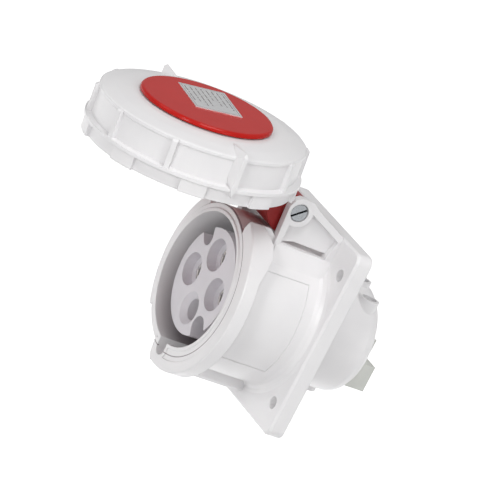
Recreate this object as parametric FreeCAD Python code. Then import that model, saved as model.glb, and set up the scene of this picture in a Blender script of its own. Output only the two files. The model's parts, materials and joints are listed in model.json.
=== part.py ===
"""Panel-mounted industrial socket: three poles and earth, 32 A size, with a
hinged lid that a bayonet locking ring holds shut against a round gasket.

The socket axis is Y and the plug enters along +Y. The back of the mounting
flange lies on Y = 0, centred on the axis, and +Z is up. Angles around the axis
are counted from +X towards +Z, as seen from the front. The lid, its ring and
its label are drawn shut and then swung open about the hinge.
"""
import FreeCAD
import Part
import math
import os

# Mounting flange
FIXING_SPACING = 60.0
FLANGE_SIDE_MARGIN = 7.5
FLANGE_END_MARGIN = 12.5
FLANGE_THICK = 7.0
FLANGE_CORNER = 4.0
FLANGE_EDGE = 1.0
FIXING_HOLE_R = 2.65

# Shroud that guides the plug
BORE_R = 28.95
SHROUD_WALL = 4.05
RIM_Y = -48.6
RIM_LIP = 1.35
RIM_DROP = 0.4
RIM_EDGE = 0.4
FLARE_R = 3.5
WALL_THICK = 3.0
WALL_FRONT_Y = -9.0
PAD_START = -37.0
PAD_END = 38.9
PAD_FRONT_Y = -42.4
PAD_BACK_Y = -15.0
PAD_DEPTH = 0.35

# Bayonet collar around the front of the shroud
COLLAR_RISE = 6.8
COLLAR_FRONT_Y = -48.5
COLLAR_BACK_Y = -42.4
COLLAR_STEP_RISE = 2.0
COLLAR_STEP = 0.3
COLLAR_EDGE = 0.5
COLLAR_START = -95.0
COLLAR_TAIL = 8.0
CHEEK_INSET = 1.8
CHEEK_CLEARANCE = 0.5
APRON_START = 24.0
APRON_MIDDLE = 36.0
APRON_RISE_FROM = -7.6
APRON_RISE_TO = 12.0
APRON_SLOPE = 0.375
APRON_TIP_Y = -38.0
APRON_FOOT_Y = -35.4
NOTCH_TIP_Y = -36.1
NOTCH_TIP_DROP = 3.9
NOTCH_TOP_Y = -41.6
NOTCH_TOP_RISE = 2.4
CHEEK_WALL = 1.6
CHEEK_TOP_RISE = 2.5
CHEEK_END_Y = -38.2
CHEEK_LOW_DROP = 0.4
LEFT_COLLAR_RISE = 6.5
LEFT_COLLAR_FRONT_Y = -45.0
LEFT_COLLAR_START = 132.0
LEFT_COLLAR_END = 220.0

# Keyway under the bore, and the ridge that covers it
KEY_HALF = 3.6
KEY_DEPTH = 2.3
KEY_LIP = 1.9
RIDGE_HALF = 4.5
RIDGE_WALL = 3.3
RIDGE_FRONT_Y = -36.0
RIDGE_EDGE = 1.5

# Hinge between two ears on the flange
HINGE_Y = -30.95
HINGE_RISE = 13.0
EAR_GAP = 1.1
EAR_THICK = 3.6
EAR_WEB_RECESS = 2.4
EAR_BOSS_R = 6.2
EAR_FRONT_FOOT_Y = -34.5
EAR_FRONT_TOP_Y = -36.45
EAR_NOSE_RISE = 1.2
EAR_NOSE_SLOPE = 1.3
EAR_NOSE_DROP = 1.6
EAR_CREST_BACK_Y = -26.95
EAR_SHOULDER_Y = -22.2
EAR_SHOULDER_RISE = 3.3
EAR_FRONT_STRUT = 1.9
EAR_REAR_STRUT = 1.4
EAR_STRUT_DROP = 2.7
EAR_WEB_LOW_FRONT_DROP = 1.3
EAR_WEB_LOW_MIDDLE_Y = -26.0
EAR_WEB_LOW_MIDDLE_RISE = 0.4
EAR_WEB_LOW_BACK_Y = -10.2
EAR_WEB_LOW_BACK_RISE = 0.1
EAR_FOOT_TOP_DROP = 2.0
EAR_FOOT_ANGLE = 46.0
HINGE_SCREW_R = 2.0
HINGE_HEAD_R = 3.55
HINGE_HEAD_THICK = 1.8
HINGE_SLOT_TURN = 38.0
HINGE_NUT_FLATS = 7.0
HINGE_NUT_THICK = 2.2
EAR_SEAT_DEPTH = 2.2
PIVOT_GAP = 0.08

# Hinge arm of the lid
BARREL_R = 5.8
ARM_HALF = 14.9
ARM_GAP = 0.5
ARM_BOW = 3.7
ARM_ROOT_Y = -52.6
ARM_RISER_FRONT_Y = -36.8
ARM_RISER_BACK_Y = -31.0
ARM_RISER_LIFT = 0.5
ARM_HEEL_R = 12.2
ARM_RELIEF_HALF = 6.5
ARM_RELIEF_DEPTH = 2.4

# Contact carrier standing in the bore
PLUG_GAP = 5.95
CARRIER_FACE_Y = -45.0
FOOT_THICK = 5.0
PITCH_R = 12.5
POCKET_R = 7.0
POCKET_DEPTH = 4.6
EARTH_CONE_DEPTH = 2.2
EARTH_MOUTH_DEPTH = 6.6
PIN_WAY = 0.5
UPPER_NOTCH_R = 3.4
UPPER_NOTCH_PLACE = 19.4
UPPER_NOTCH_ANGLE = 129.0
UPPER_NOTCH_FLARE = 14.0
LOWER_NOTCH_R = 4.6
LOWER_NOTCH_PLACE = 19.7
LOWER_NOTCH_ANGLE = -50.5
LOWER_NOTCH_FLARE = 5.0

# Contact sleeves: pin bores, walls and terminal ends
PHASE_PIN_BORE_R = 3.05
EARTH_PIN_BORE_R = 4.05
PIN_BORE_DEPTH = 24.0
SLEEVE_SINK = 0.3
SLEEVE_WALL = 0.8
SLEEVE_SHOULDER = 0.5
TERMINAL_WALL = 2.2
WIRE_BORE_R = 2.8
WIRE_BORE_DEPTH = 18.0
SLIT_WIDTH = 0.8
SLIT_DEPTH = 18.0
FIT_GAP = 0.1
THREAD_GAP = 0.03

# Rear carrier with the terminal chambers
REAR_R = 24.2
REAR_DROP = 2.3
REAR_END_Y = 29.5
REAR_EDGE = 5.0
REAR_WALL = 3.0
REAR_DISC_R = 27.0
REAR_DISC_THICK = 5.0
REAR_DISC_GAP = 0.3
PORT_Y = 22.0
PORT_R = 3.2
PORT_BOSS_R = 4.5
PORT_RISE = 1.8
WIRE_ENTRY_R = 3.4
TERMINAL_SCREW_R = 2.0
TERMINAL_SCREW_LENGTH = 5.0
HEAD_SLOT = 0.9

# Cable guide in the back of the rear carrier
GUIDE_SEAT = 2.5
GUIDE_LOW_HALF = 12.0
GUIDE_LOW_TOP_Z = -7.3
GUIDE_LOW_BOTTOM_Z = -18.9
GUIDE_LOW_END_Y = 40.7
GUIDE_TOP_HALF = 8.0
GUIDE_TOP_Z = 2.8
GUIDE_TOP_END_Y = 37.6

# Screws that clamp both carriers to the wall of the shroud
CARRIER_SCREW_R = 1.5
CARRIER_HEAD_R = 2.7
CARRIER_HEAD_THICK = 2.0
CARRIER_THREAD = 4.5

# Panel gasket in the back of the flange
PANEL_GASKET_LAND = 2.8
PANEL_GASKET_WIDTH = 3.6
PANEL_GASKET_THICK = 2.0

# Lid cap, hub and gasket, in the shut position
LID_OPEN = 82.3
RUN_GAP = 0.4
LID_SEAT_GAP = 0.7
CAP_OVERHANG = 0.5
CAP_FLANGE = 4.3
HUB_R = 24.6
HUB_END_Y = -60.0
HUB_WALL = 2.3
GASKET_REACH = 2.05
GASKET_WIDTH = 5.4
GASKET_SEAT = 2.1
GASKET_GAP = 0.3
DISC_R = 28.1
DISC_FACE_Y = -61.7
DISC_EDGE = 1.2
LABEL_WIDTH = 26.0
LABEL_HEIGHT = 20.7
LABEL_THICK = 0.3
LABEL_X = -6.3
LABEL_Z = 3.6
LABEL_TURN = -5.0

# Locking ring, in the shut position
RING_FIT = 1.2
RING_WALL = 1.9
RING_CROWN_Y = -59.5
RING_CROWN_DROP = 2.2
RING_CROWN_EDGE = 0.2
RING_LIP = 0.5
RING_LIP_TOP_Y = -56.8
RING_LIP_LOW_Y = -55.7
RING_WEB = 2.6
RING_BEARING = 2.0
RING_LEDGE = 2.6
RING_LEDGE_Y = -44.5
RING_LEDGE_FALL = 0.6
RING_LEDGE_THICK = 1.5
RING_SKIRT_INSET = 0.4
RING_BACK_Y = -37.5
RIB_COUNT = 10
RIB_PHASE = -1.0
RIB_HALF_ANGLE = 1.5
RIB_SINK = 0.8
RIB_INSET = 0.5
RIB_TOP_Y = -56.9
RIB_EDGE = 1.0
RECESS_COUNT = 9
RECESS_ANGLE = 26.0
RECESS_DEPTH = 1.6
GRIP_LENGTH = 15.9
GRIP_TIP_Y = -58.9
GRIP_PROUD = 0.2
GRIP_PEAK_Y = -60.3
GRIP_NOSE = 1.2
GRIP_SHOULDER_Y = -58.4
GRIP_TAPER_Y = -48.0
GRIP_END_Y = -40.9
GRIP_SINK = 0.9
GRIP_HALF = 2.9
GRIP_NOSE_HALF = 0.8
LUG_BITE = 2.1
LUG_FRONT_Y = -41.9
LUG_BACK_Y = -38.2
LUG_HALF_ANGLE = 8.0
LUG_ANGLES = (112.0, 240.0)

ORIGIN = FreeCAD.Vector(0, 0, 0)
INWARD = FreeCAD.Vector(0, 1, 0)
OUTWARD = FreeCAD.Vector(0, -1, 0)
RIGHT = FreeCAD.Vector(1, 0, 0)
CUT_MARGIN = 1.0
ROUND_STEPS = 3


def polar(radius, angle, y=0.0):
    """Point at a radius and angle around the socket axis."""
    turn = math.radians(angle)
    return FreeCAD.Vector(radius * math.cos(turn), y, radius * math.sin(turn))


def face_of(points):
    """Flat face inside a closed run of corners."""
    return Part.Face(Part.makePolygon(points + points[:1]))


def sector(outline, start, sweep):
    """Solid of revolution of (radius, y) corners over part of a turn."""
    face = face_of([FreeCAD.Vector(radius, y, 0) for radius, y in outline])
    solid = face.revolve(ORIGIN, OUTWARD, sweep)
    solid.rotate(ORIGIN, OUTWARD, start)
    return solid


def turned(outline):
    """Full solid of revolution of (radius, y) corners about the socket axis."""
    return sector(outline, 0.0, 360.0)


def rounding(radius, y_end, size, way):
    """Corners of a stepped rounding at the end of a turned outline."""
    corners = []
    for step in range(ROUND_STEPS + 1):
        turn = math.radians(90.0 * step / ROUND_STEPS)
        corners.append((radius - size * (1 - math.cos(turn)),
                        y_end - way * size * (1 - math.sin(turn))))
    return corners


def rod(radius, y_from, y_to, x=0.0, z=0.0):
    """Cylinder along the socket axis direction."""
    return Part.makeCylinder(radius, y_to - y_from, FreeCAD.Vector(x, y_from, z), INWARD)


def cross_rod(radius, x_from, x_to):
    """Cylinder on the hinge axis."""
    start = FreeCAD.Vector(x_from, HINGE_Y, HINGE_Z)
    return Part.makeCylinder(radius, x_to - x_from, start, RIGHT)


def block(x_range, y_range, z_range):
    """Box between low and high values on each axis."""
    low = FreeCAD.Vector(x_range[0], y_range[0], z_range[0])
    size = [pair[1] - pair[0] for pair in (x_range, y_range, z_range)]
    return Part.makeBox(size[0], size[1], size[2], low)


def side_plate(corners, x_from, x_to):
    """Plate across X with an outline of (y, z) corners."""
    face = face_of([FreeCAD.Vector(x_from, y, z) for y, z in corners])
    return face.extrude(FreeCAD.Vector(x_to - x_from, 0, 0))


def front_plate(points, y_from, y_to):
    """Plate along Y with an outline of points around the socket axis."""
    face = face_of([FreeCAD.Vector(point.x, y_from, point.z) for point in points])
    return face.extrude(FreeCAD.Vector(0, y_to - y_from, 0))


def edges_along(shape, direction):
    """Straight edges of a shape that run along a direction."""
    found = []
    for edge in shape.Edges:
        start, end = edge.Vertexes[0].Point, edge.Vertexes[-1].Point
        run = end - start
        if run.Length > 0 and run.cross(direction).Length < 1e-6 * run.Length:
            found.append(edge)
    return found


def spin(shape, angle):
    """Copy of a shape turned around the socket axis."""
    copy = shape.copy()
    copy.rotate(ORIGIN, OUTWARD, angle)
    return copy


def opened(shape):
    """Lid piece swung from the shut position to the open one."""
    copy = shape.copy()
    copy.rotate(FreeCAD.Vector(0, HINGE_Y, HINGE_Z), RIGHT, -LID_OPEN)
    return copy


class Contact:
    """One contact: its place, its bore, and the way its screw port faces."""

    def __init__(self, name, angle, pin_bore_r, mouth_depth, port_way):
        spot = polar(PITCH_R, angle)
        self.name = name
        self.x = spot.x
        self.z = spot.z
        self.pin_bore_r = pin_bore_r
        self.mouth_y = CARRIER_FACE_Y + mouth_depth
        self.port_way = port_way
        self.sleeve_r = pin_bore_r + SLEEVE_WALL
        self.terminal_r = max(WIRE_BORE_R + TERMINAL_WALL, self.sleeve_r + SLEEVE_SHOULDER)


CONTACTS = [
    Contact("line_1", 90.0, PHASE_PIN_BORE_R, POCKET_DEPTH, 1),
    Contact("line_2", 180.0, PHASE_PIN_BORE_R, POCKET_DEPTH, 1),
    Contact("line_3", 0.0, PHASE_PIN_BORE_R, POCKET_DEPTH, 1),
    Contact("earth", 270.0, EARTH_PIN_BORE_R, EARTH_MOUTH_DEPTH, -1),
]
FLANGE_WIDTH = FIXING_SPACING + 2 * FLANGE_SIDE_MARGIN
FLANGE_HEIGHT = FIXING_SPACING + 2 * FLANGE_END_MARGIN
SHROUD_R = BORE_R + SHROUD_WALL
COLLAR_R = SHROUD_R + COLLAR_RISE
COLLAR_STEP_R = SHROUD_R + COLLAR_STEP_RISE
NOTCH_TIP_Z = SHROUD_R - NOTCH_TIP_DROP
NOTCH_TOP_Z = SHROUD_R + NOTCH_TOP_RISE
CHEEK_TOP_Z = SHROUD_R + CHEEK_TOP_RISE
CHEEK_LOW_Z = SHROUD_R - CHEEK_LOW_DROP
LEFT_COLLAR_R = SHROUD_R + LEFT_COLLAR_RISE
KEY_BOTTOM_R = SHROUD_R + KEY_DEPTH
KEY_LIP_R = KEY_BOTTOM_R + KEY_LIP
RIDGE_BOTTOM_R = KEY_BOTTOM_R + RIDGE_WALL
HINGE_Z = SHROUD_R + HINGE_RISE
EAR_SHOULDER_Z = HINGE_Z + EAR_SHOULDER_RISE
EAR_WEB_LOW_FRONT_Z = SHROUD_R - EAR_WEB_LOW_FRONT_DROP
EAR_WEB_LOW_MIDDLE_Z = SHROUD_R + EAR_WEB_LOW_MIDDLE_RISE
EAR_WEB_LOW_BACK_Z = SHROUD_R + EAR_WEB_LOW_BACK_RISE
EAR_FOOT_TOP_Z = SHROUD_R - EAR_FOOT_TOP_DROP
EAR_INNER_X = ARM_HALF + EAR_GAP
EAR_OUTER_X = EAR_INNER_X + EAR_THICK
CHEEK_X = EAR_INNER_X + CHEEK_INSET
CHEEK_CLEAR_X = ARM_HALF + CHEEK_CLEARANCE
ARM_INNER_R = SHROUD_R + ARM_GAP
PANEL_GASKET_INNER_R = REAR_DISC_R + PANEL_GASKET_LAND
ARM_OUTER_R = ARM_INNER_R + ARM_BOW
ARM_RISER_LOW_Z = ARM_INNER_R + ARM_RISER_LIFT
CARRIER_R = BORE_R - PLUG_GAP
CAP_R = COLLAR_R + CAP_OVERHANG
GASKET_MID_R = BORE_R + GASKET_REACH
FLANGE_FRONT_Y = -FLANGE_THICK
WALL_BACK_Y = WALL_FRONT_Y + WALL_THICK
FOOT_FRONT_Y = WALL_FRONT_Y - FOOT_THICK
CHAMBER_END_Y = REAR_END_Y - REAR_WALL
TERMINAL_END_Y = CHAMBER_END_Y - FIT_GAP
SCREW_SPOTS = [
    polar(UPPER_NOTCH_PLACE, UPPER_NOTCH_ANGLE),
    polar(LOWER_NOTCH_PLACE, LOWER_NOTCH_ANGLE),
]
CAP_BACK_Y = RIM_Y - LID_SEAT_GAP
CAP_FRONT_Y = CAP_BACK_Y - CAP_FLANGE
RING_INNER_R = CAP_R + RING_FIT
RING_WALL_R = RING_INNER_R + RING_WALL
RING_CROWN_R = RING_WALL_R - RING_CROWN_EDGE
RING_LIP_R = RING_WALL_R + RING_LIP
RING_LEDGE_R = RING_WALL_R + RING_LEDGE
RING_SKIRT_R = RING_LEDGE_R - RING_SKIRT_INSET
RIB_ROOT_R = RING_WALL_R - RIB_SINK
RIB_R = RING_LEDGE_R - RIB_INSET
RECESS_R = RING_SKIRT_R - RECESS_DEPTH
GRIP_ROOT_R = RING_WALL_R - GRIP_SINK
GRIP_PEAK_R = RING_LEDGE_R + GRIP_PROUD
GRIP_R = GRIP_PEAK_R + GRIP_NOSE
GRIP_TIP_R = GRIP_R - GRIP_LENGTH
LUG_INNER_R = COLLAR_R - LUG_BITE


def flange():
    """Rounded plate with four fixing holes."""
    plate = block((-FLANGE_WIDTH / 2, FLANGE_WIDTH / 2), (FLANGE_FRONT_Y, 0),
                  (-FLANGE_HEIGHT / 2, FLANGE_HEIGHT / 2))
    plate = plate.makeFillet(FLANGE_CORNER, edges_along(plate, INWARD))
    front = [edge for edge in plate.Edges
             if edge.BoundBox.YMax < FLANGE_FRONT_Y + FLANGE_EDGE / 2]
    plate = plate.makeChamfer(FLANGE_EDGE, front)
    half = FIXING_SPACING / 2
    for x in (-half, half):
        for z in (-half, half):
            plate = plate.cut(rod(FIXING_HOLE_R, FLANGE_FRONT_Y - CUT_MARGIN, CUT_MARGIN, x, z))
    return plate


def shroud():
    """Round tube with its stepped rim and side relief, flared into the flange."""
    flare = []
    for step in range(ROUND_STEPS + 1):
        turn = math.radians(90.0 * step / ROUND_STEPS)
        flare.append((SHROUD_R + FLARE_R * (1 - math.cos(turn)),
                      FLANGE_FRONT_Y - FLARE_R * (1 - math.sin(turn))))
    band_y = RIM_Y + RIM_DROP
    lip_r = BORE_R + RIM_LIP
    tube = turned([
        (0, WALL_BACK_Y), (0, WALL_FRONT_Y), (BORE_R, WALL_FRONT_Y), (BORE_R, RIM_Y),
        (lip_r, RIM_Y), (lip_r + RIM_DROP, band_y),
        (SHROUD_R - RIM_EDGE, band_y), (SHROUD_R, band_y + RIM_EDGE),
    ] + flare + [(SHROUD_R, WALL_BACK_Y)])
    pad = sector([(SHROUD_R - PAD_DEPTH, PAD_FRONT_Y), (SHROUD_R + PAD_DEPTH, PAD_FRONT_Y),
                  (SHROUD_R + PAD_DEPTH, PAD_BACK_Y), (SHROUD_R - PAD_DEPTH, PAD_BACK_Y)],
                 PAD_START, PAD_END - PAD_START)
    return tube.cut(pad)


def collars():
    """Bayonet collar on the right, its apron under the hinge, and the left collar."""
    root_r = (BORE_R + SHROUD_R) / 2
    step_y = COLLAR_FRONT_Y + COLLAR_STEP
    cheek_angle = math.degrees(math.acos(CHEEK_X / COLLAR_R))
    right = sector([
        (root_r, COLLAR_BACK_Y), (root_r, step_y), (COLLAR_STEP_R, step_y),
        (COLLAR_STEP_R, COLLAR_FRONT_Y), (COLLAR_R - COLLAR_EDGE, COLLAR_FRONT_Y),
        (COLLAR_R, COLLAR_FRONT_Y + COLLAR_EDGE), (COLLAR_R, COLLAR_BACK_Y),
    ], COLLAR_START, cheek_angle - COLLAR_START)
    tail_end = COLLAR_START - COLLAR_TAIL
    tail = front_plate([
        polar(COLLAR_R, COLLAR_START), polar(root_r, COLLAR_START), polar(root_r, tail_end),
        polar(SHROUD_R, tail_end),
        polar(COLLAR_R - COLLAR_STEP_R + SHROUD_R, COLLAR_START - COLLAR_TAIL / 2),
    ], COLLAR_FRONT_Y, COLLAR_BACK_Y)
    apron = sector([
        (root_r, COLLAR_BACK_Y), (COLLAR_R, COLLAR_BACK_Y), (COLLAR_R, APRON_TIP_Y),
        (SHROUD_R, APRON_FOOT_Y), (root_r, APRON_FOOT_Y),
    ], APRON_START, cheek_angle - APRON_START)
    rise_y = COLLAR_BACK_Y + APRON_SLOPE * (APRON_RISE_TO - APRON_RISE_FROM)
    ramp = side_plate([
        (COLLAR_BACK_Y, APRON_RISE_FROM), (rise_y, APRON_RISE_TO),
        (EAR_FRONT_FOOT_Y, APRON_RISE_TO), (EAR_FRONT_FOOT_Y, -APRON_RISE_TO),
        (COLLAR_BACK_Y, -APRON_RISE_TO),
    ], root_r - CUT_MARGIN, COLLAR_R + CUT_MARGIN)
    notch_side = side_plate([
        (NOTCH_TIP_Y, NOTCH_TIP_Z), (NOTCH_TOP_Y, NOTCH_TOP_Z), (NOTCH_TOP_Y, COLLAR_R),
        (EAR_FRONT_FOOT_Y, COLLAR_R), (EAR_FRONT_FOOT_Y, NOTCH_TIP_Z),
    ], EAR_INNER_X + CHEEK_WALL, COLLAR_R)
    apron = apron.cut([spin(ramp, APRON_MIDDLE), notch_side])
    foot_z = math.sqrt(BORE_R ** 2 - EAR_INNER_X ** 2)
    cheek = side_plate([
        (COLLAR_BACK_Y, foot_z), (COLLAR_BACK_Y, CHEEK_TOP_Z), (CHEEK_END_Y, CHEEK_TOP_Z),
        (EAR_FRONT_FOOT_Y, CHEEK_LOW_Z), (EAR_FRONT_FOOT_Y, foot_z),
    ], EAR_INNER_X, EAR_INNER_X + CHEEK_WALL)
    way = block((0, CHEEK_CLEAR_X), (COLLAR_FRONT_Y - CUT_MARGIN, EAR_FRONT_FOOT_Y),
                (0, COLLAR_R))
    left = sector([
        (root_r, COLLAR_BACK_Y), (root_r, LEFT_COLLAR_FRONT_Y),
        (LEFT_COLLAR_R, LEFT_COLLAR_FRONT_Y), (LEFT_COLLAR_R, COLLAR_BACK_Y),
    ], LEFT_COLLAR_START, LEFT_COLLAR_END - LEFT_COLLAR_START)
    return [right.cut(way), tail, apron.cut(way), cheek, left]


def key_ridge():
    """Ridge along the underside that leaves room for the keyway."""
    ridge = block((-RIDGE_HALF, RIDGE_HALF), (RIDGE_FRONT_Y, FLANGE_FRONT_Y),
                  (-RIDGE_BOTTOM_R, -BORE_R))
    low = [edge for edge in edges_along(ridge, INWARD)
           if edge.BoundBox.ZMax < -KEY_LIP_R]
    ridge = ridge.makeChamfer(RIDGE_EDGE, low)
    lip_r = KEY_LIP_R - KEY_BOTTOM_R + KEY_HALF
    lip = rod(lip_r, COLLAR_FRONT_Y, RIDGE_FRONT_Y, 0, lip_r - KEY_LIP_R)
    return [ridge, lip]


def keyway():
    """Slot with a round bottom for the key of the plug."""
    centre_z = KEY_HALF - KEY_BOTTOM_R
    front, back = RIM_Y - CUT_MARGIN, FOOT_FRONT_Y
    round_end = rod(KEY_HALF, front, back, 0, centre_z)
    return round_end.fuse(block((-KEY_HALF, KEY_HALF), (front, back), (centre_z, -CARRIER_R)))


def ear():
    """Right hinge ear: boss, front strut, rear strut and a thinner web."""
    top_z = HINGE_Z + EAR_BOSS_R
    foot_z = math.sqrt(BORE_R ** 2 - EAR_INNER_X ** 2)
    flange_top = FLANGE_HEIGHT / 2
    plate = side_plate([
        (EAR_FRONT_FOOT_Y, foot_z), (EAR_FRONT_TOP_Y, HINGE_Z + EAR_NOSE_RISE),
        (EAR_FRONT_TOP_Y + EAR_NOSE_SLOPE, top_z - EAR_NOSE_DROP),
        (HINGE_Y - EAR_NOSE_DROP, top_z), (EAR_CREST_BACK_Y, top_z),
        (EAR_SHOULDER_Y, EAR_SHOULDER_Z), (FLANGE_FRONT_Y, flange_top),
        (FLANGE_FRONT_Y, foot_z),
    ], EAR_INNER_X, EAR_OUTER_X)
    strut_y = EAR_FRONT_FOOT_Y + EAR_FRONT_STRUT
    rear_y = FLANGE_FRONT_Y - EAR_REAR_STRUT
    low_edge = [
        (EAR_WEB_LOW_BACK_Y, EAR_WEB_LOW_BACK_Z), (EAR_WEB_LOW_MIDDLE_Y, EAR_WEB_LOW_MIDDLE_Z),
        (strut_y, EAR_WEB_LOW_FRONT_Z),
    ]
    web = low_edge + [
        (strut_y, HINGE_Z - EAR_BOSS_R), (HINGE_Y, HINGE_Z),
        (HINGE_Y + EAR_BOSS_R, HINGE_Z + EAR_NOSE_RISE), (rear_y, flange_top - EAR_STRUT_DROP),
    ]
    pocket = side_plate(web, EAR_OUTER_X - EAR_WEB_RECESS, EAR_OUTER_X + CUT_MARGIN)
    pocket = pocket.cut(cross_rod(EAR_BOSS_R, EAR_INNER_X, EAR_OUTER_X + CUT_MARGIN))
    gap = side_plate(low_edge + [(EAR_WEB_LOW_BACK_Y, EAR_FOOT_TOP_Z)],
                     EAR_INNER_X - CUT_MARGIN, EAR_OUTER_X + CUT_MARGIN)
    foot = front_plate([
        FreeCAD.Vector(EAR_INNER_X, 0, foot_z), FreeCAD.Vector(EAR_INNER_X, 0, EAR_FOOT_TOP_Z),
        FreeCAD.Vector(EAR_OUTER_X, 0, EAR_FOOT_TOP_Z), polar(SHROUD_R, EAR_FOOT_ANGLE),
        polar(BORE_R, EAR_FOOT_ANGLE),
    ], EAR_FRONT_FOOT_Y, FLANGE_FRONT_Y)
    return plate.cut([pocket, gap]).fuse(foot)


def hex_prism(flats, x_from, x_to):
    """Six-sided prism on the hinge axis."""
    corner_r = flats / math.sqrt(3)
    corners = []
    for side in range(6):
        turn = math.radians(60 * side)
        corners.append((HINGE_Y + corner_r * math.sin(turn), HINGE_Z + corner_r * math.cos(turn)))
    return side_plate(corners, x_from, x_to)


def ears():
    """Both ears, with the seats of the hinge screw and nut."""
    right = ear()
    left = right.mirror(ORIGIN, RIGHT)
    seat_x = EAR_OUTER_X - EAR_SEAT_DEPTH
    hole = cross_rod(HINGE_SCREW_R + FIT_GAP, -EAR_OUTER_X - CUT_MARGIN, EAR_OUTER_X + CUT_MARGIN)
    right = right.cut(hole).cut(
        cross_rod(HINGE_HEAD_R + RUN_GAP, seat_x, EAR_OUTER_X + CUT_MARGIN))
    left = left.cut(hole).cut(
        hex_prism(HINGE_NUT_FLATS + 2 * FIT_GAP, -EAR_OUTER_X - CUT_MARGIN, -seat_x))
    return [right, left]


def housing():
    """Flange, shroud, collars and ears in one moulding."""
    body = flange().fuse([shroud()] + collars() + key_ridge() + ears())
    bore = rod(BORE_R, RIM_Y - CUT_MARGIN, WALL_FRONT_Y)
    recess = rod(REAR_DISC_R + REAR_DISC_GAP, WALL_BACK_Y, CUT_MARGIN)
    gasket_r = PANEL_GASKET_INNER_R + PANEL_GASKET_WIDTH
    groove = rod(gasket_r, -PANEL_GASKET_THICK, CUT_MARGIN).cut(
        rod(PANEL_GASKET_INNER_R, -PANEL_GASKET_THICK, CUT_MARGIN))
    tools = [bore, recess, groove, keyway()]
    for contact in CONTACTS:
        tools.append(rod(contact.terminal_r + FIT_GAP, WALL_FRONT_Y - CUT_MARGIN,
                         WALL_BACK_Y + CUT_MARGIN, contact.x, contact.z))
    for spot in SCREW_SPOTS:
        tools.append(rod(CARRIER_SCREW_R + FIT_GAP, WALL_FRONT_Y - CUT_MARGIN,
                         WALL_BACK_Y + CUT_MARGIN, spot.x, spot.z))
    return body.cut(tools)


def notch(radius, place, flare, angle):
    """U-shaped channel with flared sides down the side of the carrier."""
    front = CARRIER_FACE_Y - CUT_MARGIN
    turn = math.radians(flare)
    reach = CARRIER_R + radius - place
    start_half = radius * math.cos(turn)
    end_half = radius / math.cos(turn) + reach * math.tan(turn)
    start_x = place - radius * math.sin(turn)
    mouth = front_plate([
        FreeCAD.Vector(start_x, 0, -start_half), FreeCAD.Vector(start_x, 0, start_half),
        FreeCAD.Vector(place + reach, 0, end_half), FreeCAD.Vector(place + reach, 0, -end_half),
    ], front, FOOT_FRONT_Y)
    return spin(rod(radius, front, FOOT_FRONT_Y, place, 0).fuse(mouth), angle)


def contact_carrier():
    """Insulating insert with pin pockets, sleeve bores and screw channels."""
    body = rod(CARRIER_R, CARRIER_FACE_Y, WALL_FRONT_Y)
    front = CARRIER_FACE_Y - CUT_MARGIN
    tools = [
        notch(UPPER_NOTCH_R, UPPER_NOTCH_PLACE, UPPER_NOTCH_FLARE, UPPER_NOTCH_ANGLE),
        notch(LOWER_NOTCH_R, LOWER_NOTCH_PLACE, LOWER_NOTCH_FLARE, LOWER_NOTCH_ANGLE),
    ]
    for contact in CONTACTS:
        if contact.name == "earth":
            pin_way_r = contact.pin_bore_r + PIN_WAY
            tools.append(Part.makeCone(POCKET_R, pin_way_r, EARTH_CONE_DEPTH,
                                       FreeCAD.Vector(contact.x, CARRIER_FACE_Y, contact.z),
                                       INWARD))
            tools.append(rod(pin_way_r, front, contact.mouth_y + CUT_MARGIN,
                             contact.x, contact.z))
        else:
            tools.append(rod(POCKET_R, front, contact.mouth_y, contact.x, contact.z))
        tools.append(rod(contact.sleeve_r + FIT_GAP, contact.mouth_y, WALL_FRONT_Y + CUT_MARGIN,
                         contact.x, contact.z))
    for spot in SCREW_SPOTS:
        tools.append(rod(CARRIER_SCREW_R + FIT_GAP, FOOT_FRONT_Y - CUT_MARGIN,
                         WALL_FRONT_Y + CUT_MARGIN, spot.x, spot.z))
    return body.cut(tools)


def contact_sleeve(contact):
    """Turned sleeve: slit pin socket in front, wire terminal behind."""
    front_y = contact.mouth_y + SLEEVE_SINK
    sleeve = rod(contact.sleeve_r, front_y, WALL_FRONT_Y, contact.x, contact.z)
    terminal = rod(contact.terminal_r, WALL_FRONT_Y, TERMINAL_END_Y, contact.x, contact.z)
    body = sleeve.fuse(terminal)
    slit = block((contact.x - contact.sleeve_r, contact.x + contact.sleeve_r),
                 (front_y - CUT_MARGIN, front_y + SLIT_DEPTH),
                 (contact.z - SLIT_WIDTH / 2, contact.z + SLIT_WIDTH / 2))
    tools = [
        rod(contact.pin_bore_r, front_y - CUT_MARGIN, front_y + PIN_BORE_DEPTH,
            contact.x, contact.z),
        rod(WIRE_BORE_R, TERMINAL_END_Y - WIRE_BORE_DEPTH, TERMINAL_END_Y + CUT_MARGIN,
            contact.x, contact.z),
        slit,
        port_rod(contact, TERMINAL_SCREW_R + THREAD_GAP, 0, contact.terminal_r + CUT_MARGIN),
    ]
    return body.cut(tools).removeSplitter()


def port_rod(contact, radius, reach_from, reach_to):
    """Upright cylinder on the screw axis of a contact, by distance from the contact."""
    way = FreeCAD.Vector(0, 0, contact.port_way)
    start = FreeCAD.Vector(contact.x, PORT_Y, contact.z + contact.port_way * reach_from)
    return Part.makeCylinder(radius, reach_to - reach_from, start, way)


def port_reach(contact):
    """Distance from a contact to the end of its screw port."""
    surface = math.sqrt(REAR_R ** 2 - contact.x ** 2)
    return surface - contact.port_way * REAR_DROP - abs(contact.z) + PORT_RISE


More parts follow.
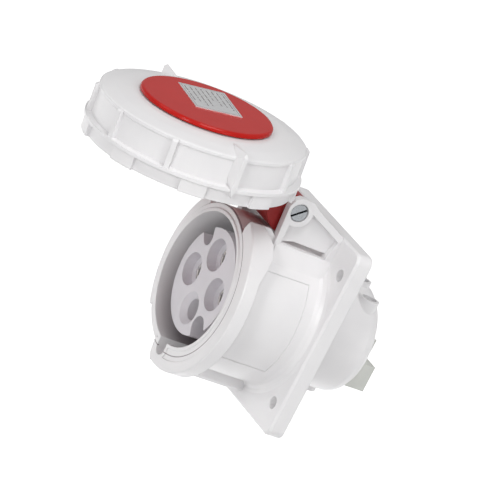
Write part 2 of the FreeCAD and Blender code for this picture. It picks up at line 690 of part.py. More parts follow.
def terminal_screw(contact):
    """Headless slotted screw that clamps the wire in a terminal."""
    reach_from = WIRE_BORE_R + FIT_GAP
    reach_to = reach_from + TERMINAL_SCREW_LENGTH
    shank = port_rod(contact, TERMINAL_SCREW_R, reach_from, reach_to)
    low, high = sorted((contact.z + contact.port_way * (reach_to - HEAD_SLOT),
                        contact.z + contact.port_way * (reach_to + CUT_MARGIN)))
    slot = block((contact.x - TERMINAL_SCREW_R - CUT_MARGIN,
                  contact.x + TERMINAL_SCREW_R + CUT_MARGIN),
                 (PORT_Y - HEAD_SLOT / 2, PORT_Y + HEAD_SLOT / 2), (low, high))
    return shank.cut(slot)


def guide_outline(grow, y_from, y_to):
    """Stepped outline of the cable guide, grown by a clearance."""
    low = block((-GUIDE_LOW_HALF - grow, GUIDE_LOW_HALF + grow), (y_from, y_to),
                (GUIDE_LOW_BOTTOM_Z - grow, GUIDE_LOW_TOP_Z + grow))
    top = block((-GUIDE_TOP_HALF - grow, GUIDE_TOP_HALF + grow), (y_from, y_to),
                (GUIDE_LOW_BOTTOM_Z, GUIDE_TOP_Z + grow))
    return low.fuse(top).removeSplitter()


def rear_carrier():
    """Round rear moulding with terminal chambers and their screw ports."""
    cup = turned([(0, WALL_BACK_Y), (REAR_R, WALL_BACK_Y)]
                 + rounding(REAR_R, REAR_END_Y, REAR_EDGE, 1) + [(0, REAR_END_Y)])
    cup.translate(FreeCAD.Vector(0, 0, -REAR_DROP))
    disc = rod(REAR_DISC_R, WALL_BACK_Y, WALL_BACK_Y + REAR_DISC_THICK)
    bosses = [port_rod(contact, PORT_BOSS_R, PORT_BOSS_R, port_reach(contact))
              for contact in CONTACTS]
    body = cup.fuse([disc] + bosses)
    seat_y = REAR_END_Y - GUIDE_SEAT
    tools = [guide_outline(FIT_GAP, seat_y, REAR_END_Y + CUT_MARGIN)]
    for contact in CONTACTS:
        tools.append(rod(contact.terminal_r + FIT_GAP, WALL_BACK_Y - CUT_MARGIN,
                         CHAMBER_END_Y, contact.x, contact.z))
        tools.append(rod(WIRE_ENTRY_R, CHAMBER_END_Y - CUT_MARGIN, REAR_END_Y + CUT_MARGIN,
                         contact.x, contact.z))
        tools.append(port_rod(contact, PORT_R, 0, port_reach(contact) + CUT_MARGIN))
    for spot in SCREW_SPOTS:
        tools.append(rod(CARRIER_SCREW_R + THREAD_GAP, WALL_BACK_Y - CUT_MARGIN,
                         WALL_BACK_Y + CARRIER_THREAD + FIT_GAP, spot.x, spot.z))
    return body.cut(tools).removeSplitter()


def cable_guide():
    """Stepped block behind the rear carrier with the earth wire entry."""
    seat_y = REAR_END_Y - GUIDE_SEAT
    low = guide_outline(0, seat_y, GUIDE_TOP_END_Y)
    step = block((-GUIDE_LOW_HALF, GUIDE_LOW_HALF), (GUIDE_TOP_END_Y, GUIDE_LOW_END_Y),
                 (GUIDE_LOW_BOTTOM_Z, GUIDE_LOW_TOP_Z))
    earth = CONTACTS[3]
    body = low.fuse(step).removeSplitter()
    return body.cut(rod(WIRE_ENTRY_R, seat_y - CUT_MARGIN, GUIDE_LOW_END_Y + CUT_MARGIN,
                        earth.x, earth.z))


def carrier_screw(spot):
    """Slotted screw from the notch of the carrier into the rear carrier."""
    head_y = FOOT_FRONT_Y - CARRIER_HEAD_THICK
    head = rod(CARRIER_HEAD_R, head_y, FOOT_FRONT_Y, spot.x, spot.z)
    shank = rod(CARRIER_SCREW_R, FOOT_FRONT_Y, WALL_BACK_Y + CARRIER_THREAD, spot.x, spot.z)
    slot = block((spot.x - CARRIER_HEAD_R, spot.x + CARRIER_HEAD_R),
                 (head_y - CUT_MARGIN, head_y + HEAD_SLOT),
                 (spot.z - HEAD_SLOT / 2, spot.z + HEAD_SLOT / 2))
    return head.fuse(shank).cut(slot).removeSplitter()


def panel_gasket():
    """Flat ring in the groove on the back of the flange."""
    outer_r = PANEL_GASKET_INNER_R + PANEL_GASKET_WIDTH
    ring = rod(outer_r - FIT_GAP, -PANEL_GASKET_THICK, 0)
    return ring.cut(rod(PANEL_GASKET_INNER_R + FIT_GAP, -PANEL_GASKET_THICK, 0))


def hinge_screw():
    """Slotted screw through both ears and the lid barrel."""
    seat_x = EAR_OUTER_X - EAR_SEAT_DEPTH
    head = cross_rod(HINGE_HEAD_R, seat_x, seat_x + HINGE_HEAD_THICK)
    shank = cross_rod(HINGE_SCREW_R, -seat_x - HINGE_NUT_THICK, seat_x)
    slot = block((seat_x + HINGE_HEAD_THICK - HEAD_SLOT, EAR_OUTER_X + CUT_MARGIN),
                 (HINGE_Y - HINGE_HEAD_R - CUT_MARGIN, HINGE_Y + HINGE_HEAD_R + CUT_MARGIN),
                 (HINGE_Z - HEAD_SLOT / 2, HINGE_Z + HEAD_SLOT / 2))
    slot.rotate(FreeCAD.Vector(0, HINGE_Y, HINGE_Z), RIGHT, HINGE_SLOT_TURN)
    return head.fuse(shank).cut(slot).removeSplitter()


def hinge_nut():
    """Hexagon nut in the seat of the left ear."""
    seat_x = EAR_OUTER_X - EAR_SEAT_DEPTH
    nut = hex_prism(HINGE_NUT_FLATS, -seat_x - HINGE_NUT_THICK, -seat_x)
    return nut.cut(cross_rod(HINGE_SCREW_R + THREAD_GAP, -EAR_OUTER_X - CUT_MARGIN, 0))


def lid_arm():
    """Hinge arm of the lid: a bowed plate over the shroud, a riser, heel and barrel."""
    half_angle = math.degrees(math.asin(ARM_HALF / ARM_INNER_R))
    root_y = (CAP_FRONT_Y + CAP_BACK_Y) / 2
    bow = sector([(ARM_INNER_R, root_y), (ARM_OUTER_R, ARM_ROOT_Y),
                  (ARM_OUTER_R, ARM_RISER_BACK_Y), (ARM_INNER_R, ARM_RISER_BACK_Y)],
                 90 - half_angle, 2 * half_angle)
    bow = bow.common(block((-ARM_HALF, ARM_HALF), (CAP_FRONT_Y, 0), (0, HINGE_Z)))
    riser = block((-ARM_HALF, ARM_HALF), (ARM_RISER_FRONT_Y, ARM_RISER_BACK_Y),
                  (ARM_RISER_LOW_Z, HINGE_Z))
    relief = block((-ARM_RELIEF_HALF, ARM_RELIEF_HALF),
                   (ARM_RISER_FRONT_Y - CUT_MARGIN, ARM_RISER_FRONT_Y + ARM_RELIEF_DEPTH),
                   (ARM_OUTER_R, HINGE_Z))
    heel = cross_rod(ARM_HEEL_R, -ARM_HALF, ARM_HALF).common(
        block((-ARM_HALF, ARM_HALF), (ARM_RISER_BACK_Y, HINGE_Y + ARM_HEEL_R),
              (HINGE_Z - ARM_HEEL_R, HINGE_Z)))
    barrel_half = EAR_INNER_X - REAR_DISC_GAP
    barrel = cross_rod(BARREL_R, -barrel_half, barrel_half)
    return bow.fuse([riser.cut(relief), heel, barrel])


def lid_cap():
    """Red lid body with its hub, gasket groove and hinge arm."""
    inner_r = GASKET_MID_R - GASKET_WIDTH / 2
    outer_r = GASKET_MID_R + GASKET_WIDTH / 2
    seat_y = CAP_BACK_Y - GASKET_SEAT
    cap = turned([
        (0, HUB_END_Y), (HUB_R, HUB_END_Y), (HUB_R, CAP_FRONT_Y), (CAP_R, CAP_FRONT_Y),
        (CAP_R, CAP_BACK_Y), (outer_r, CAP_BACK_Y), (outer_r, seat_y), (inner_r, seat_y),
        (inner_r, CAP_BACK_Y), (HUB_R - HUB_WALL, CAP_BACK_Y),
        (HUB_R - HUB_WALL, HUB_END_Y + HUB_WALL), (0, HUB_END_Y + HUB_WALL),
    ])
    bore = cross_rod(HINGE_SCREW_R + PIVOT_GAP, -EAR_OUTER_X, EAR_OUTER_X)
    groove = rod(outer_r, seat_y, CAP_BACK_Y + CUT_MARGIN)
    groove = groove.cut(rod(inner_r, seat_y, CAP_BACK_Y + CUT_MARGIN))
    return cap.fuse(lid_arm()).cut([bore, groove]).removeSplitter()


def lid_gasket():
    """Soft ring that seals against the rim of the shroud."""
    inner_r = GASKET_MID_R - GASKET_WIDTH / 2 + FIT_GAP
    outer_r = GASKET_MID_R + GASKET_WIDTH / 2 - FIT_GAP
    seat_y, face_y = CAP_BACK_Y - GASKET_SEAT, RIM_Y - GASKET_GAP
    return turned([(inner_r, seat_y), (outer_r, seat_y), (outer_r, face_y), (inner_r, face_y)])


def lid_disc():
    """Raised front disc that keeps the ring on the hub."""
    return turned([(0, HUB_END_Y), (DISC_R, HUB_END_Y)]
                  + rounding(DISC_R, DISC_FACE_Y, DISC_EDGE, -1) + [(0, DISC_FACE_Y)])


def label_plate():
    """Thin bare rating plate on the disc."""
    plate = block((-LABEL_WIDTH / 2, LABEL_WIDTH / 2), (DISC_FACE_Y - LABEL_THICK, DISC_FACE_Y),
                  (-LABEL_HEIGHT / 2, LABEL_HEIGHT / 2))
    plate.rotate(ORIGIN, OUTWARD, LABEL_TURN)
    plate.translate(FreeCAD.Vector(LABEL_X, 0, LABEL_Z))
    return plate


def grip_wedge():
    """Pointed grip: a peaked ridge that starts on the crown and runs down the wall."""
    profile = [
        (GRIP_TIP_R, GRIP_TIP_Y), (GRIP_PEAK_R, GRIP_PEAK_Y), (GRIP_R, GRIP_SHOULDER_Y),
        (GRIP_PEAK_R, GRIP_END_Y), (GRIP_ROOT_R, GRIP_END_Y),
        (GRIP_ROOT_R, RING_LIP_TOP_Y + RING_WEB), (GRIP_TIP_R, RING_CROWN_Y + RING_WEB),
    ]
    side = face_of([FreeCAD.Vector(radius, y, -GRIP_HALF) for radius, y in profile])
    side = side.extrude(FreeCAD.Vector(0, 0, 2 * GRIP_HALF))
    plan = front_plate([
        FreeCAD.Vector(GRIP_TIP_R, 0, 0), FreeCAD.Vector(RING_WALL_R, 0, GRIP_HALF),
        FreeCAD.Vector(GRIP_R, 0, GRIP_NOSE_HALF), FreeCAD.Vector(GRIP_R, 0, -GRIP_NOSE_HALF),
        FreeCAD.Vector(RING_WALL_R, 0, -GRIP_HALF),
    ], GRIP_PEAK_Y - CUT_MARGIN, RING_BACK_Y)
    front = side_plate([
        (GRIP_PEAK_Y, 0), (RING_LIP_TOP_Y, GRIP_HALF), (GRIP_TAPER_Y, GRIP_HALF),
        (GRIP_END_Y, 0), (GRIP_TAPER_Y, -GRIP_HALF), (RING_LIP_TOP_Y, -GRIP_HALF),
    ], 0, GRIP_R + CUT_MARGIN)
    return side.common(plan).common(front)


def ring_shell():
    """Cap-shaped wall of the ring with its crown, lip, ledge and skirt."""
    inner_r = HUB_R + RUN_GAP
    crown = []
    for step in range(ROUND_STEPS + 1):
        share = step / ROUND_STEPS
        crown.append((inner_r + (RING_CROWN_R - inner_r) * share,
                      RING_CROWN_Y + RING_CROWN_DROP * share ** 2))
    ledge_back_y = RING_LEDGE_Y + RING_LEDGE_THICK
    outline = crown + [
        (RING_LIP_R, RING_LIP_TOP_Y), (RING_LIP_R, RING_LIP_LOW_Y),
        (RING_WALL_R, RING_LIP_LOW_Y + RING_LIP_R - RING_WALL_R),
        (RING_WALL_R, RING_LEDGE_Y - RING_LEDGE_FALL), (RING_LEDGE_R, RING_LEDGE_Y),
        (RING_LEDGE_R, ledge_back_y), (RING_SKIRT_R, ledge_back_y), (RING_SKIRT_R, RING_BACK_Y),
        (RING_INNER_R, RING_BACK_Y), (RING_INNER_R, CAP_FRONT_Y - RUN_GAP),
        (CAP_R - RING_BEARING, CAP_FRONT_Y - RUN_GAP), (inner_r, RING_CROWN_Y + RING_WEB),
    ]
    return turned(outline)


def locking_ring():
    """Bayonet ring: ribs, skirt recesses, grips and inner lugs."""
    pitch = 360.0 / RIB_COUNT
    rib = sector([(RIB_ROOT_R, RIB_TOP_Y), (RIB_R - RIB_EDGE, RIB_TOP_Y),
                  (RIB_R, RIB_TOP_Y + RIB_EDGE), (RIB_R, RING_LEDGE_Y), (RIB_ROOT_R, RING_LEDGE_Y)],
                 -RIB_HALF_ANGLE, 2 * RIB_HALF_ANGLE)
    grips = (0, RIB_COUNT // 2)
    raised = []
    for index in range(RIB_COUNT):
        form = grip_wedge() if index in grips else rib
        raised.append(spin(form, RIB_PHASE + index * pitch))
    lug = sector([(LUG_INNER_R, LUG_BACK_Y), (LUG_INNER_R, LUG_FRONT_Y),
                  (RIB_ROOT_R, LUG_FRONT_Y), (RIB_ROOT_R, LUG_BACK_Y)],
                 -LUG_HALF_ANGLE, 2 * LUG_HALF_ANGLE)
    lugs = [spin(lug, angle) for angle in LUG_ANGLES]
    recess_y = RING_LEDGE_Y + RING_LEDGE_THICK
    far_r = RING_LEDGE_R + CUT_MARGIN
    recess = sector([(RECESS_R, recess_y), (RECESS_R, RING_BACK_Y + CUT_MARGIN),
                     (far_r, RING_BACK_Y + CUT_MARGIN), (far_r, recess_y)],
                    -RECESS_ANGLE / 2, RECESS_ANGLE)
    cuts = [spin(recess, RIB_PHASE + index * 360.0 / RECESS_COUNT)
            for index in range(RECESS_COUNT)]
    return ring_shell().cut(cuts).fuse(raised + lugs).removeSplitter()


def build():
    """Every piece of the socket by name."""
    pieces = {
        "housing": housing(),
        "contact_carrier": contact_carrier(),
        "rear_carrier": rear_carrier(),
        "cable_guide": cable_guide(),
        "panel_gasket": panel_gasket(),
        "hinge_screw": hinge_screw(),
        "hinge_nut": hinge_nut(),
        "carrier_screw_upper": carrier_screw(SCREW_SPOTS[0]),
        "carrier_screw_lower": carrier_screw(SCREW_SPOTS[1]),
        "lid_cap": opened(lid_cap()),
        "lid_gasket": opened(lid_gasket()),
        "lid_disc": opened(lid_disc()),
        "label_plate": opened(label_plate()),
        "locking_ring": opened(locking_ring()),
    }
    for contact in CONTACTS:
        pieces["contact_sleeve_" + contact.name] = contact_sleeve(contact)
        pieces["terminal_screw_" + contact.name] = terminal_screw(contact)
    return pieces


os.makedirs("parts", exist_ok=True)
for name, shape in build().items():
    shape.exportStep("parts/" + name + ".step")
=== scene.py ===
import json
import math
from collections import namedtuple

import bmesh
import bpy
from mathutils import Matrix, Vector


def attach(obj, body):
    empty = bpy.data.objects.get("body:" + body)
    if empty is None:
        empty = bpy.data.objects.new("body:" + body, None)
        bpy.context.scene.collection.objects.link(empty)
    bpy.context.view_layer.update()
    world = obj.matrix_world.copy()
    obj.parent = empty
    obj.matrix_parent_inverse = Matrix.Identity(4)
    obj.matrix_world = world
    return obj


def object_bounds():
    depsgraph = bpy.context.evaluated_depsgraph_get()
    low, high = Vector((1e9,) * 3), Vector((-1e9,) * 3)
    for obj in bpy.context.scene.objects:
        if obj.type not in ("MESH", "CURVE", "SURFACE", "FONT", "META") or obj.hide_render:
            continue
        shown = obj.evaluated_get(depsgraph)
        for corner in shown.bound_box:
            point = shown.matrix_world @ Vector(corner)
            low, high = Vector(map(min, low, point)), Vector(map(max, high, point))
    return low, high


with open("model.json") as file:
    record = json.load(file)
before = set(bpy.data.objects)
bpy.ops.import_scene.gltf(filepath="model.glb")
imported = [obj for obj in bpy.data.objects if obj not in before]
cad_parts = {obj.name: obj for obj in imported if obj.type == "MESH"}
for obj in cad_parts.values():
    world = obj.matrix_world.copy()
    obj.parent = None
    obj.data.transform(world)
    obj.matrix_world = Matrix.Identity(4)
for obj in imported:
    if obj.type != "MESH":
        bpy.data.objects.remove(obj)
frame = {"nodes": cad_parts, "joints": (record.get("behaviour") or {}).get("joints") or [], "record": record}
cad_low, cad_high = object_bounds()
joints = {joint["name"]: joint for joint in frame["joints"]}

MM = 0.001

# camera, as the photograph shows the object
CAMERA_PLACE = Vector((1648.09, -1023.72, 486.83)) * MM
CAMERA_RIGHT = Vector((0.3633, 0.8172, 0.4475))
CAMERA_UP = Vector((-0.4162, -0.2874, 0.8627))
CAMERA_BACK = Vector((0.8336, -0.4996, 0.2357))
LENS_MM = 358.7
SENSOR_MM = 36.0
CLIP_NEAR = 0.01
CLIP_FAR = 20.0

# plain print on the label: a thin border and rows of short bars
PRINT_LIFT = 0.04 * MM
BORDER_INSET = 0.8 * MM
BORDER_WIDTH = 0.2 * MM
BAR_HEIGHT = 0.55 * MM
BAR_ROWS = 8
# shares of the plate
BAR_MARGIN = 0.1
BAR_SHORT = 0.05
BAR_GAP = 0.035
# the lengths of the bars and the ends of the rows change in turn, as in a text
BAR_KINDS = 4
BAR_STEP = 5
END_KINDS = 5
END_STEP = 3
# points of the plate nearer than these count as level, or as the same
SAME_LEVEL = 1e-6
SAME_PLACE = 1e-5

# painted shade: a thin dark line on the rim, standing for the shaded step where the inner lip meets the
# outer wall
RIM_LINE_R = 32.8 * MM
RIM_LINE_HALF = 0.22 * MM
RIM_LINE_Y = -47.6 * MM

# painted shade: the bore grows greyer with depth and towards its lower side
DEPTH = Vector((0.0, 1.0, 0.0))
HEIGHT = Vector((0.0, 0.0, 1.0))
ACROSS_AXIS = Vector((1.0, 0.0, 1.0))
BORE_R = 29.1 * MM
BORE_GREY_FROM = -48.3 * MM
BORE_GREY_TO = -38.0 * MM
BORE_END = -8.8 * MM
BORE_SIDE = 20.0 * MM
BORE_SHARE_ABOVE = 0.1
BORE_PAINTED_SHADE = (0.30, 0.265, 0.28)

# painted shade: the slot in the head of the hinge screw is painted dark, as it lies in shade
SLOT_TURN = math.radians(38.0)
SLOT_ACROSS = Vector((0.0, -math.sin(SLOT_TURN), math.cos(SLOT_TURN)))
SLOT_AT = SLOT_ACROSS.dot(Vector(joints["lid_hinge"]["pos_m"]))
SLOT_HALF = 0.46 * MM
SLOT_PAINTED_SHADE = (0.05, 0.055, 0.06)

# noises, each as scale and detail, and the part of their range that is used
NOISE_ROUGHNESS = 0.55
NOISE_LOW = 0.3
NOISE_HIGH = 0.7
MOTTLE_NOISE = (70.0, 4.0)
GLOSS_NOISE = (260.0, 5.0)
SKIN_NOISE = (5200.0, 2.0)
FLOW_NOISE = (45.0, 1.0)
STREAK_NOISE = (900.0, 4.0)
DUST_NOISE = (400.0, 5.0)
FLOOR_NOISE = (3.0, 3.0)

# plastic
PLASTIC_IOR = 1.5
COAT_ROUGH = 0.12
GLOSS_SPREAD = 0.03
SKIN_DEPTH = 0.02 * MM
FLOW_STRENGTH = 0.1
FLOW_DEPTH = 0.1 * MM

# metal
STREAK_SMOOTHER = 0.08
STREAK_ROUGHER = 0.1
STREAK_STRENGTH = 0.3
STREAK_DEPTH = 0.02 * MM

# rubber
RUBBER = (0.02, 0.02, 0.021)
RUBBER_DUSTY = (0.035, 0.034, 0.034)
RUBBER_SMOOTHEST = 0.62
RUBBER_ROUGHEST = 0.8
DUST_STRENGTH = 0.3
DUST_DEPTH = 0.05 * MM

# floor and light
FLOOR_DROP = 140.0 * MM
FLOOR_SIZE = 8.0
FLOOR_PALE = (0.84, 0.84, 0.84)
FLOOR_PALER = (0.87, 0.87, 0.87)
FLOOR_ROUGH = 0.9
FLOOR_CALM = -0.05
FLOOR_BRIGHT = 0.12
FLOOR_GLOW = 0.8
SWEEP_WAY = Vector((-0.858, 0.514, 0.0))
WHITE_LIGHT = (1.0, 1.0, 1.0, 1.0)
WORLD_STRENGTH = 0.40

Lamp = namedtuple("Lamp", "name way distance size power")
LAMPS = [
    Lamp("key", (-0.35, -1.0, 0.85), 1.2, 0.5, 1.2),
    Lamp("top", (0.6, -0.2, 1.4), 1.2, 0.5, 4.8),
    Lamp("side", (0.6, -0.9, 0.3), 1.4, 0.4, 4.7),
    Lamp("fill", (1.0, 0.2, 0.5), 1.6, 0.6, 4.4),
]

# sockets of the Mix node that are in use when it mixes colours
MIX_SHARE = 0
MIX_FIRST = 6
MIX_SECOND = 7
MIX_RESULT = 2
BEVEL_SAMPLES = 6


class Nodes:
    """The nodes of one material. Most methods add a node and return its output."""

    def __init__(self, name):
        self.material = bpy.data.materials.new(name)
        self.material.use_nodes = True
        self.tree = self.material.node_tree
        self.tree.nodes.clear()
        self.shader = self.add("BsdfPrincipled")
        self.join(self.shader.outputs["BSDF"], self.add("OutputMaterial"), "Surface")
        self.place = self.add("TexCoord").outputs["Object"]

    def add(self, kind, **settings):
        node = self.tree.nodes.new("ShaderNode" + kind)
        for key, value in settings.items():
            setattr(node, key, value)
        return node

    def join(self, source, node, into):
        self.tree.links.new(source, node.inputs[into])

    def set(self, **values):
        """Plain numbers on the shader, by input name with underscores for spaces."""
        for key, value in values.items():
            self.shader.inputs[key.replace("_", " ")].default_value = value

    def feed(self, source, into):
        """An output joined to an input of the shader."""
        self.join(source, self.shader, into)

    def noise(self, scale, detail, stretch=None):
        node = self.add("TexNoise")
        node.inputs["Scale"].default_value = scale
        node.inputs["Detail"].default_value = detail
        node.inputs["Roughness"].default_value = NOISE_ROUGHNESS
        place = self.place
        if stretch is not None:
            mapping = self.add("Mapping")
            mapping.inputs["Scale"].default_value = stretch
            self.join(place, mapping, "Vector")
            place = mapping.outputs["Vector"]
        self.join(place, node, "Vector")
        return node.outputs["Fac"]

    def spread(self, source, low, high, source_low=NOISE_LOW, source_high=NOISE_HIGH):
        """A source brought from its own range to another, and held there."""
        node = self.add("MapRange")
        node.inputs["From Min"].default_value = source_low
        node.inputs["From Max"].default_value = source_high
        node.inputs["To Min"].default_value = low
        node.inputs["To Max"].default_value = high
        self.join(source, node, "Value")
        return node.outputs["Result"]

    def towards(self, share, second):
        """A Mix node towards a colour by a share; its first colour is still open."""
        node = self.add("Mix", data_type="RGBA")
        node.inputs[MIX_SECOND].default_value = (*second, 1.0)
        self.join(share, node, MIX_SHARE)
        return node

    def mix(self, share, first, second):
        """One colour where the share is 0, and another where it is 1."""
        node = self.towards(share, second)
        node.inputs[MIX_FIRST].default_value = (*first, 1.0)
        return node.outputs[MIX_RESULT]

    def over(self, share, paint, second):
        """A paint, and another colour over it where the share is 1."""
        node = self.towards(share, second)
        self.join(paint, node, MIX_FIRST)
        return node.outputs[MIX_RESULT]

    def compare(self, source, value, within):
        """1 where the source is near a value, and 0 elsewhere."""
        node = self.add("Math", operation="COMPARE")
        self.join(source, node, 0)
        node.inputs[1].default_value = value
        node.inputs[2].default_value = within
        return node.outputs["Value"]

    def below(self, source, value):
        """1 where the source is less than a value, and 0 elsewhere."""
        node = self.add("Math", operation="LESS_THAN")
        self.join(source, node, 0)
        node.inputs[1].default_value = value
        return node.outputs["Value"]

    def both(self, first, second):
        """The product of two shares."""
        node = self.add("Math", operation="MULTIPLY")
        self.join(first, node, 0)
        self.join(second, node, 1)
        return node.outputs["Value"]

    def along(self, way):
        """Place along a direction."""
        node = self.add("VectorMath", operation="DOT_PRODUCT")
        self.join(self.place, node, 0)
        node.inputs[1].default_value = way
        return node.outputs["Value"]

    def from_axis(self):
        """Distance from the socket's axis."""
        flat = self.add("VectorMath", operation="MULTIPLY")
        self.join(self.place, flat, 0)
        flat.inputs[1].default_value = ACROSS_AXIS
        length = self.add("VectorMath", operation="LENGTH")
        self.join(flat.outputs["Vector"], length, 0)
        return length.outputs["Value"]

    def soft_edges(self, radius):
        node = self.add("Bevel", samples=BEVEL_SAMPLES)
        node.inputs["Radius"].default_value = radius
        return node.outputs["Normal"]

    def bump(self, height, strength, depth, before=None):
        node = self.add("Bump")
        node.inputs["Strength"].default_value = strength
        node.inputs["Distance"].default_value = depth
        self.join(height, node, "Height")
        if before is not None:
            self.join(before, node, "Normal")
        return node.outputs["Normal"]


def rim_shade_line(nodes):
    """1 on a thin ring on the front of the rim, where a dark line of painted shade goes, and 0 elsewhere."""
    ring = nodes.compare(nodes.from_axis(), RIM_LINE_R, RIM_LINE_HALF)
    return nodes.both(ring, nodes.below(nodes.along(DEPTH), RIM_LINE_Y))


def bore_shade(nodes):
    """A share of painted shade that grows from 0 at the rim to 1 deep in the bore, and less so above."""
    depth = nodes.along(DEPTH)
    inside = nodes.both(nodes.below(nodes.from_axis(), BORE_R), nodes.below(depth, BORE_END))
    deeper = nodes.spread(depth, 0.0, 1.0, BORE_GREY_FROM, BORE_GREY_TO)
    lower = nodes.spread(nodes.along(HEIGHT), 1.0, BORE_SHARE_ABOVE, -BORE_SIDE, BORE_SIDE)
    return nodes.both(inside, nodes.both(deeper, lower))


def slot_shade(nodes):
    """1 in the slot of the hinge screw, where its shade is painted, and 0 elsewhere on its head."""
    return nodes.compare(nodes.along(SLOT_ACROSS), SLOT_AT, SLOT_HALF)


def moulded(name, colour, tint, rough, coat, grain, edge, shine=0.5, painted_shade=None):
    """Moulded plastic: a faint mottle of colour and gloss, a fine grain and slow flow waves."""
    nodes = Nodes(name)
    nodes.set(Specular_IOR_Level=shine, IOR=PLASTIC_IOR)
    nodes.set(Coat_Weight=coat, Coat_Roughness=COAT_ROUGH)
    mottle = nodes.spread(nodes.noise(*MOTTLE_NOISE), 0.0, 1.0)
    paint = nodes.mix(mottle, colour, tint)
    if painted_shade is not None:
        # painted shade deep in the bore, darker towards its lower side
        paint = nodes.over(bore_shade(nodes), paint, painted_shade)
        # painted shade: a dark line on the rim
        paint = nodes.over(rim_shade_line(nodes), paint, painted_shade)
    nodes.feed(paint, "Base Color")
    gloss = nodes.noise(*GLOSS_NOISE)
    nodes.feed(nodes.spread(gloss, rough - GLOSS_SPREAD, rough + GLOSS_SPREAD), "Roughness")
    skin = nodes.bump(nodes.noise(*SKIN_NOISE), grain, SKIN_DEPTH, nodes.soft_edges(edge))
    flow = nodes.bump(nodes.noise(*FLOW_NOISE), FLOW_STRENGTH, FLOW_DEPTH, skin)
    nodes.feed(flow, "Normal")
    return nodes.material


def white_plastic(name, painted_shade=None):
    """The white of the ring, the housing and the rear carrier."""
    return moulded(name, (0.80, 0.79, 0.80), (0.825, 0.815, 0.82), rough=0.34, coat=0.05,
                   grain=0.15, edge=0.45 * MM, painted_shade=painted_shade)


def metal(name, colour, tint, rough, stretch, edge, slot=None):
    """Plated or turned metal: fine streaks in colour and gloss."""
    nodes = Nodes(name)
    nodes.set(Metallic=1.0)
    streak = nodes.noise(*STREAK_NOISE, stretch=stretch)
    paint = nodes.mix(nodes.spread(streak, 0.0, 1.0), colour, tint)
    if slot is not None:
        # painted shade in the slot of the hinge screw
        paint = nodes.over(slot_shade(nodes), paint, slot)
    nodes.feed(paint, "Base Color")
    nodes.feed(nodes.spread(streak, rough - STREAK_SMOOTHER, rough + STREAK_ROUGHER), "Roughness")
    nodes.feed(nodes.bump(streak, STREAK_STRENGTH, STREAK_DEPTH, nodes.soft_edges(edge)), "Normal")
    return nodes.material


def rubber(name):
    """Black rubber with a little dust."""
    nodes = Nodes(name)
    dust = nodes.noise(*DUST_NOISE)
    nodes.feed(nodes.mix(nodes.spread(dust, 0.0, 1.0), RUBBER, RUBBER_DUSTY), "Base Color")
    nodes.feed(nodes.spread(dust, RUBBER_SMOOTHEST, RUBBER_ROUGHEST), "Roughness")
    nodes.feed(nodes.bump(dust, DUST_STRENGTH, DUST_DEPTH), "Normal")
    return nodes.material


def paint_nodes():
    """A material on each CAD node: its slot's, or its own where shade is painted on it."""
    by_slot = {
        "white_plastic": white_plastic("white_plastic"),
        # painted shade: the carrier is the same white-grey plastic; its darker lilac grey stands for the
        # shade it lies in
        "carrier_plastic": moulded(
            "carrier_plastic", (0.66, 0.64, 0.67), (0.70, 0.675, 0.71), rough=0.42, coat=0.05,
            grain=0.2, edge=0.3 * MM),
        "grey_plastic": moulded(
            "grey_plastic", (0.62, 0.63, 0.595), (0.66, 0.67, 0.635), rough=0.48, coat=0.0,
            grain=0.3, edge=0.4 * MM),
        # painted shade: the lid's arm and cap are the disc's red, darkened for the shade they lie in under
        # the lid
        "red_plastic": moulded(
            "red_plastic", (0.29, 0.014, 0.014), (0.32, 0.019, 0.017), rough=0.4, coat=0.05,
            grain=0.15, edge=0.4 * MM, shine=0.35),
        "red_gloss": moulded(
            "red_gloss", (0.47, 0.012, 0.009), (0.50, 0.015, 0.011), rough=0.22, coat=0.08,
            grain=0.05, edge=0.25 * MM, shine=0.1),
        "label_silver": metal(
            "label_silver", (0.93, 0.93, 0.94), (0.97, 0.97, 0.98), rough=0.5,
            stretch=(1.0, 1.0, 8.0), edge=0.05 * MM),
        "black_rubber": rubber("black_rubber"),
        "zinc_steel": metal(
            "zinc_steel", (0.33, 0.36, 0.40), (0.46, 0.49, 0.52), rough=0.26,
            stretch=(1.0, 6.0, 1.0), edge=0.2 * MM),
        "plated_brass": metal(
            "plated_brass", (0.86, 0.84, 0.81), (0.92, 0.90, 0.87), rough=0.5,
            stretch=(6.0, 1.0, 6.0), edge=0.2 * MM),
    }
    by_node = {
        # the housing's own white, with painted shade in its bore and on its rim
        "housing": white_plastic("housing_plastic", painted_shade=BORE_PAINTED_SHADE),
        # the hinge screw's own steel, with painted shade in its slot
        "hinge_screw": metal(
            "screw_steel", (0.52, 0.55, 0.58), (0.68, 0.70, 0.73), rough=0.26,
            stretch=(1.0, 6.0, 1.0), edge=0.08 * MM, slot=SLOT_PAINTED_SHADE),
    }
    slot_of = {row["node"]: row["material_slot"] for row in frame["record"]["subparts"]}
    for name, thing in frame["nodes"].items():
        thing.data.materials.clear()
        thing.data.materials.append(by_node.get(name, by_slot[slot_of[name]]))


def plate_top():
    """The middle of the label's top face, its width and height, and the way it faces."""
    plate = frame["nodes"]["label_plate"].data
    outward = Vector(joints["ring_turn"]["axis"]).normalized()
    top = max(corner.co.dot(outward) for corner in plate.vertices)
    face = [corner.co.copy() for corner in plate.vertices
            if corner.co.dot(outward) > top - SAME_LEVEL]
    first = face[0]
    others = [corner for corner in face if (corner - first).length > SAME_PLACE]
    by_distance = sorted(others, key=lambda corner: (corner - first).length)
    high = by_distance[0] - first
    wide = outward.cross(high).normalized() * (by_distance[-1] - first - high).length
    if wide.x < 0:
        wide = -wide
    if high.z < 0:
        high = -high
    return sum(face, Vector()) / len(face), wide, high, outward


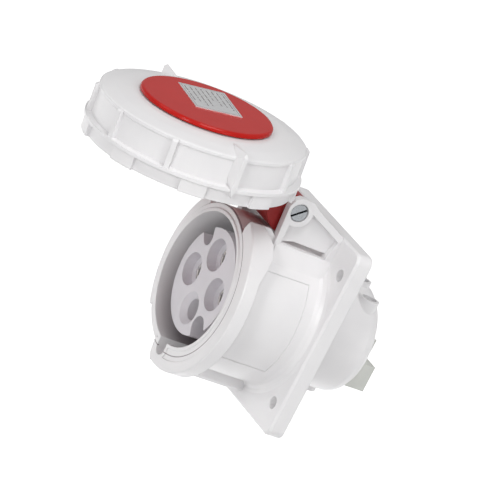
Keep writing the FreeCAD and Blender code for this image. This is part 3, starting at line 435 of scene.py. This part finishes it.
def text_row(row):
    """The left and right ends of the bars in one row, by share of the plate's width."""
    end = 0.5 - BAR_MARGIN - BAR_SHORT * (row * END_STEP % END_KINDS)
    left = BAR_MARGIN - 0.5
    word = row
    bars = []
    while True:
        right = left + BAR_SHORT * (1 + word * BAR_STEP % BAR_KINDS)
        if right > end:
            return bars
        bars.append((left, right))
        left = right + BAR_GAP
        word += 1


def label_print():
    """A border and plain bars on the label, as thin raised ink."""
    middle, wide, high, outward = plate_top()
    ink = bmesh.new()

    def bar(left, right, lower, upper):
        corners = []
        for lift in (0.0, PRINT_LIFT):
            for u, v in ((left, lower), (right, lower), (right, upper), (left, upper)):
                place = middle + wide * u + high * v + outward * lift
                corners.append(ink.verts.new(place))
        for quad in ((4, 5, 6, 7), (0, 1, 5, 4), (1, 2, 6, 5), (2, 3, 7, 6), (3, 0, 4, 7)):
            ink.faces.new([corners[index] for index in quad])

    half_bar = BAR_HEIGHT / high.length / 2
    for row in range(BAR_ROWS):
        level = (0.5 - BAR_MARGIN) * (1 - 2 * row / (BAR_ROWS - 1))
        for left, right in text_row(row):
            bar(left, right, level - half_bar, level + half_bar)
    edge_u = 0.5 - BORDER_INSET / wide.length
    edge_v = 0.5 - BORDER_INSET / high.length
    inner_u = edge_u - BORDER_WIDTH / wide.length
    inner_v = edge_v - BORDER_WIDTH / high.length
    bar(-edge_u, edge_u, inner_v, edge_v)
    bar(-edge_u, edge_u, -edge_v, -inner_v)
    bar(-edge_u, -inner_u, -inner_v, inner_v)
    bar(inner_u, edge_u, -inner_v, inner_v)
    bmesh.ops.recalc_face_normals(ink, faces=ink.faces)
    mesh = bpy.data.meshes.new("label_print")
    ink.to_mesh(mesh)
    ink.free()
    mesh.materials.append(moulded(
        "label_ink", (0.22, 0.21, 0.21), (0.34, 0.33, 0.33), rough=0.5, coat=0.0, grain=0.1,
        edge=0.02 * MM))
    piece = bpy.data.objects.new("label_print", mesh)
    bpy.context.scene.collection.objects.link(piece)
    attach(piece, "lid")


def add_floor():
    """A pale floor with painted light: it glows softly towards one side, like a lit studio sweep."""
    bpy.ops.mesh.primitive_plane_add(size=FLOOR_SIZE, location=(0, 0, cad_low.z - FLOOR_DROP))
    floor = bpy.context.object
    floor.name = "floor"
    nodes = Nodes("pale_floor")
    nodes.set(Roughness=FLOOR_ROUGH, Emission_Color=WHITE_LIGHT)
    patch = nodes.spread(nodes.noise(*FLOOR_NOISE), 0.0, 1.0)
    nodes.feed(nodes.mix(patch, FLOOR_PALE, FLOOR_PALER), "Base Color")
    # painted light: the floor's glow grows along one way
    reach = nodes.along(SWEEP_WAY)
    glow = nodes.spread(reach, 0.0, FLOOR_GLOW, FLOOR_CALM, FLOOR_BRIGHT)
    nodes.feed(glow, "Emission Strength")
    floor.data.materials.append(nodes.material)


def add_world():
    """A plain pale surround."""
    world = bpy.data.worlds.new("studio")
    world.use_nodes = True
    background = world.node_tree.nodes["Background"]
    background.inputs["Color"].default_value = WHITE_LIGHT
    background.inputs["Strength"].default_value = WORLD_STRENGTH
    bpy.context.scene.world = world


def add_lamp(lamp):
    """A round soft lamp that looks at the middle of the part."""
    data = bpy.data.lights.new(lamp.name, "AREA")
    data.shape = "DISK"
    data.size = lamp.size
    data.energy = lamp.power
    thing = bpy.data.objects.new(lamp.name, data)
    bpy.context.scene.collection.objects.link(thing)
    way = Vector(lamp.way).normalized()
    thing.location = (cad_low + cad_high) / 2 + way * lamp.distance
    thing.rotation_mode = "QUATERNION"
    thing.rotation_quaternion = way.to_track_quat("Z", "Y")


def add_camera():
    """The camera of the photograph."""
    data = bpy.data.cameras.new("camera")
    data.lens = LENS_MM
    data.sensor_width = SENSOR_MM
    data.clip_start = CLIP_NEAR
    data.clip_end = CLIP_FAR
    camera = bpy.data.objects.new("camera", data)
    bpy.context.scene.collection.objects.link(camera)
    turn = Matrix((CAMERA_RIGHT, CAMERA_UP, CAMERA_BACK)).transposed().to_4x4()
    camera.matrix_world = Matrix.Translation(CAMERA_PLACE) @ turn
    bpy.context.scene.camera = camera


paint_nodes()
label_print()
add_floor()
add_world()
for lamp in LAMPS:
    add_lamp(lamp)
add_camera()
bpy.context.scene.view_settings.view_transform = "Standard"
